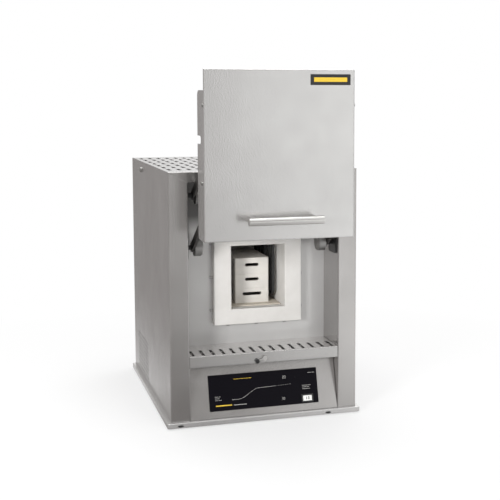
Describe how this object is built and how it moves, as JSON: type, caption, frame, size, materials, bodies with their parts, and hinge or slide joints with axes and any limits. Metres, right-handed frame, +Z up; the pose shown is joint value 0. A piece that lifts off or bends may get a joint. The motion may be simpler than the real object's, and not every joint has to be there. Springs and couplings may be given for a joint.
{
  "type": "muffle furnace",
  "caption": "Bench muffle furnace in textured stainless steel with a parallel-swinging lift door, a fibre collar, stacked ceramic trays and a sloping control panel.",
  "frame": {"origin": "on the bench under the middle of the whole envelope with the door open", "axes": "+Z up, -Y to the door side (front), +Y to the back, +X to the right seen from the front"},
  "size_m": [0.4152, 0.6728, 0.7284],
  "materials": {
    "stainless": "fine leather-grain textured stainless steel",
    "steel_sheet": "plain galvanised sheet",
    "black_steel": "black painted steel",
    "polished_bar": "polished stainless bar",
    "fibre": "vacuum-formed ceramic fibre",
    "brick": "cream fired ceramic",
    "saggar": "cream fired saggar ceramic",
    "element": "dark silicon carbide",
    "alumina": "alumina tube",
    "panel_black": null,
    "black_plastic": "black moulded plastic",
    "white_plastic": "white moulded plastic",
    "board": "green circuit board",
    "heat_sink": "bare extruded aluminium",
    "screw": "zinc-plated steel",
    "foot_rubber": "black rubber"
  },
  "bodies": {
    "cabinet": {"balance_spring_drums": "black_steel", "base_tray": "stainless", "collar_clips": "steel_sheet", "control_fascia": "stainless", "control_panel": "panel_black", "controller_board": "board", "cooling_fan_frame": "black_plastic", "cover_screws": "screw", "element_clamps": "heat_sink", "exhaust_tube": "alumina", "fan_guard": "black_steel", "front_bulkhead": "stainless", "hearth_plate": "brick", "heating_elements_left": "element", "heating_elements_right": "element", "hot_box_casing": "steel_sheet", "hot_box_stands": "steel_sheet", "insulation_floor": "fibre", "insulation_left": "fibre", "insulation_rear": "fibre", "insulation_right": "fibre", "insulation_roof": "fibre", "left_pivot_bracket": "black_steel", "left_side_cover": "stainless", "left_well_wall": "stainless", "mains_inlet": "black_plastic", "mains_switch_housing": "black_plastic", "muffle_collar": "fibre", "pivot_shafts": "black_steel", "power_module": "heat_sink", "rear_cover": "stainless", "relay_block": "black_plastic", "right_pivot_bracket": "black_steel", "right_side_cover": "stainless", "right_well_wall": "stainless", "rubber_feet": "foot_rubber", "saggar_lid": "saggar", "saggar_lower": "saggar", "saggar_middle": "saggar", "saggar_upper": "saggar", "thermocouple": "heat_sink", "top_cover": "stainless", "vented_ledge": "stainless", "well_ceiling": "stainless"},
    "upper_arms": {"upper_arms": "black_steel"},
    "lower_arms": {"lower_arms": "black_steel"},
    "door": {"door_skin": "stainless", "door_pins": "screw", "door_pan": "steel_sheet", "door_pan_rails": "steel_sheet", "door_insulation": "fibre", "door_plug": "fibre", "door_bolts": "screw", "handle_bar": "polished_bar", "handle_posts": "polished_bar", "badge_plate": "black_plastic"},
    "rocker": {"mains_rocker": "white_plastic"},
    "air_lever": {"air_inlet_lever": "screw", "air_inlet_knob": "black_plastic"},
    "fan": {"cooling_fan_rotor": "black_plastic"}
  },
  "joints": [
    {"name": "door_swing", "type": "hinge", "parent": "cabinet", "child": "upper_arms", "pos_m": [0, -0.14255, 0.476], "axis": [1, 0, 0], "range_deg": [0, 115]},
    {"name": "door_level", "type": "hinge", "parent": "upper_arms", "child": "door", "pos_m": [0, -0.27352, 0.55315], "axis": [1, 0, 0], "range_deg": [-115, 0]},
    {"name": "lower_arm_swing", "type": "hinge", "parent": "cabinet", "child": "lower_arms", "pos_m": [0, -0.12855, 0.367], "axis": [1, 0, 0], "range_deg": [0, 115]},
    {"name": "mains_switch", "type": "hinge", "parent": "cabinet", "child": "rocker", "pos_m": [0.0935, -0.16283, 0.03841], "axis": [0, 0.2756, 0.9613], "range_deg": [-16, 0]},
    {"name": "air_inlet", "type": "hinge", "parent": "cabinet", "child": "air_lever", "pos_m": [-0.002, -0.16855, 0.1346], "axis": [0, -1, 0], "range_deg": [0, 90]},
    {"name": "fan_spin", "type": "hinge", "parent": "cabinet", "child": "fan", "pos_m": [-0.105, 0.31825, 0.078], "axis": [0, 1, 0], "continuous": true}
  ],
  "couplings": [
    {"joint": "door_level", "follows": "door_swing", "ratio": -1},
    {"joint": "lower_arm_swing", "follows": "door_swing", "ratio": 1}
  ]
}
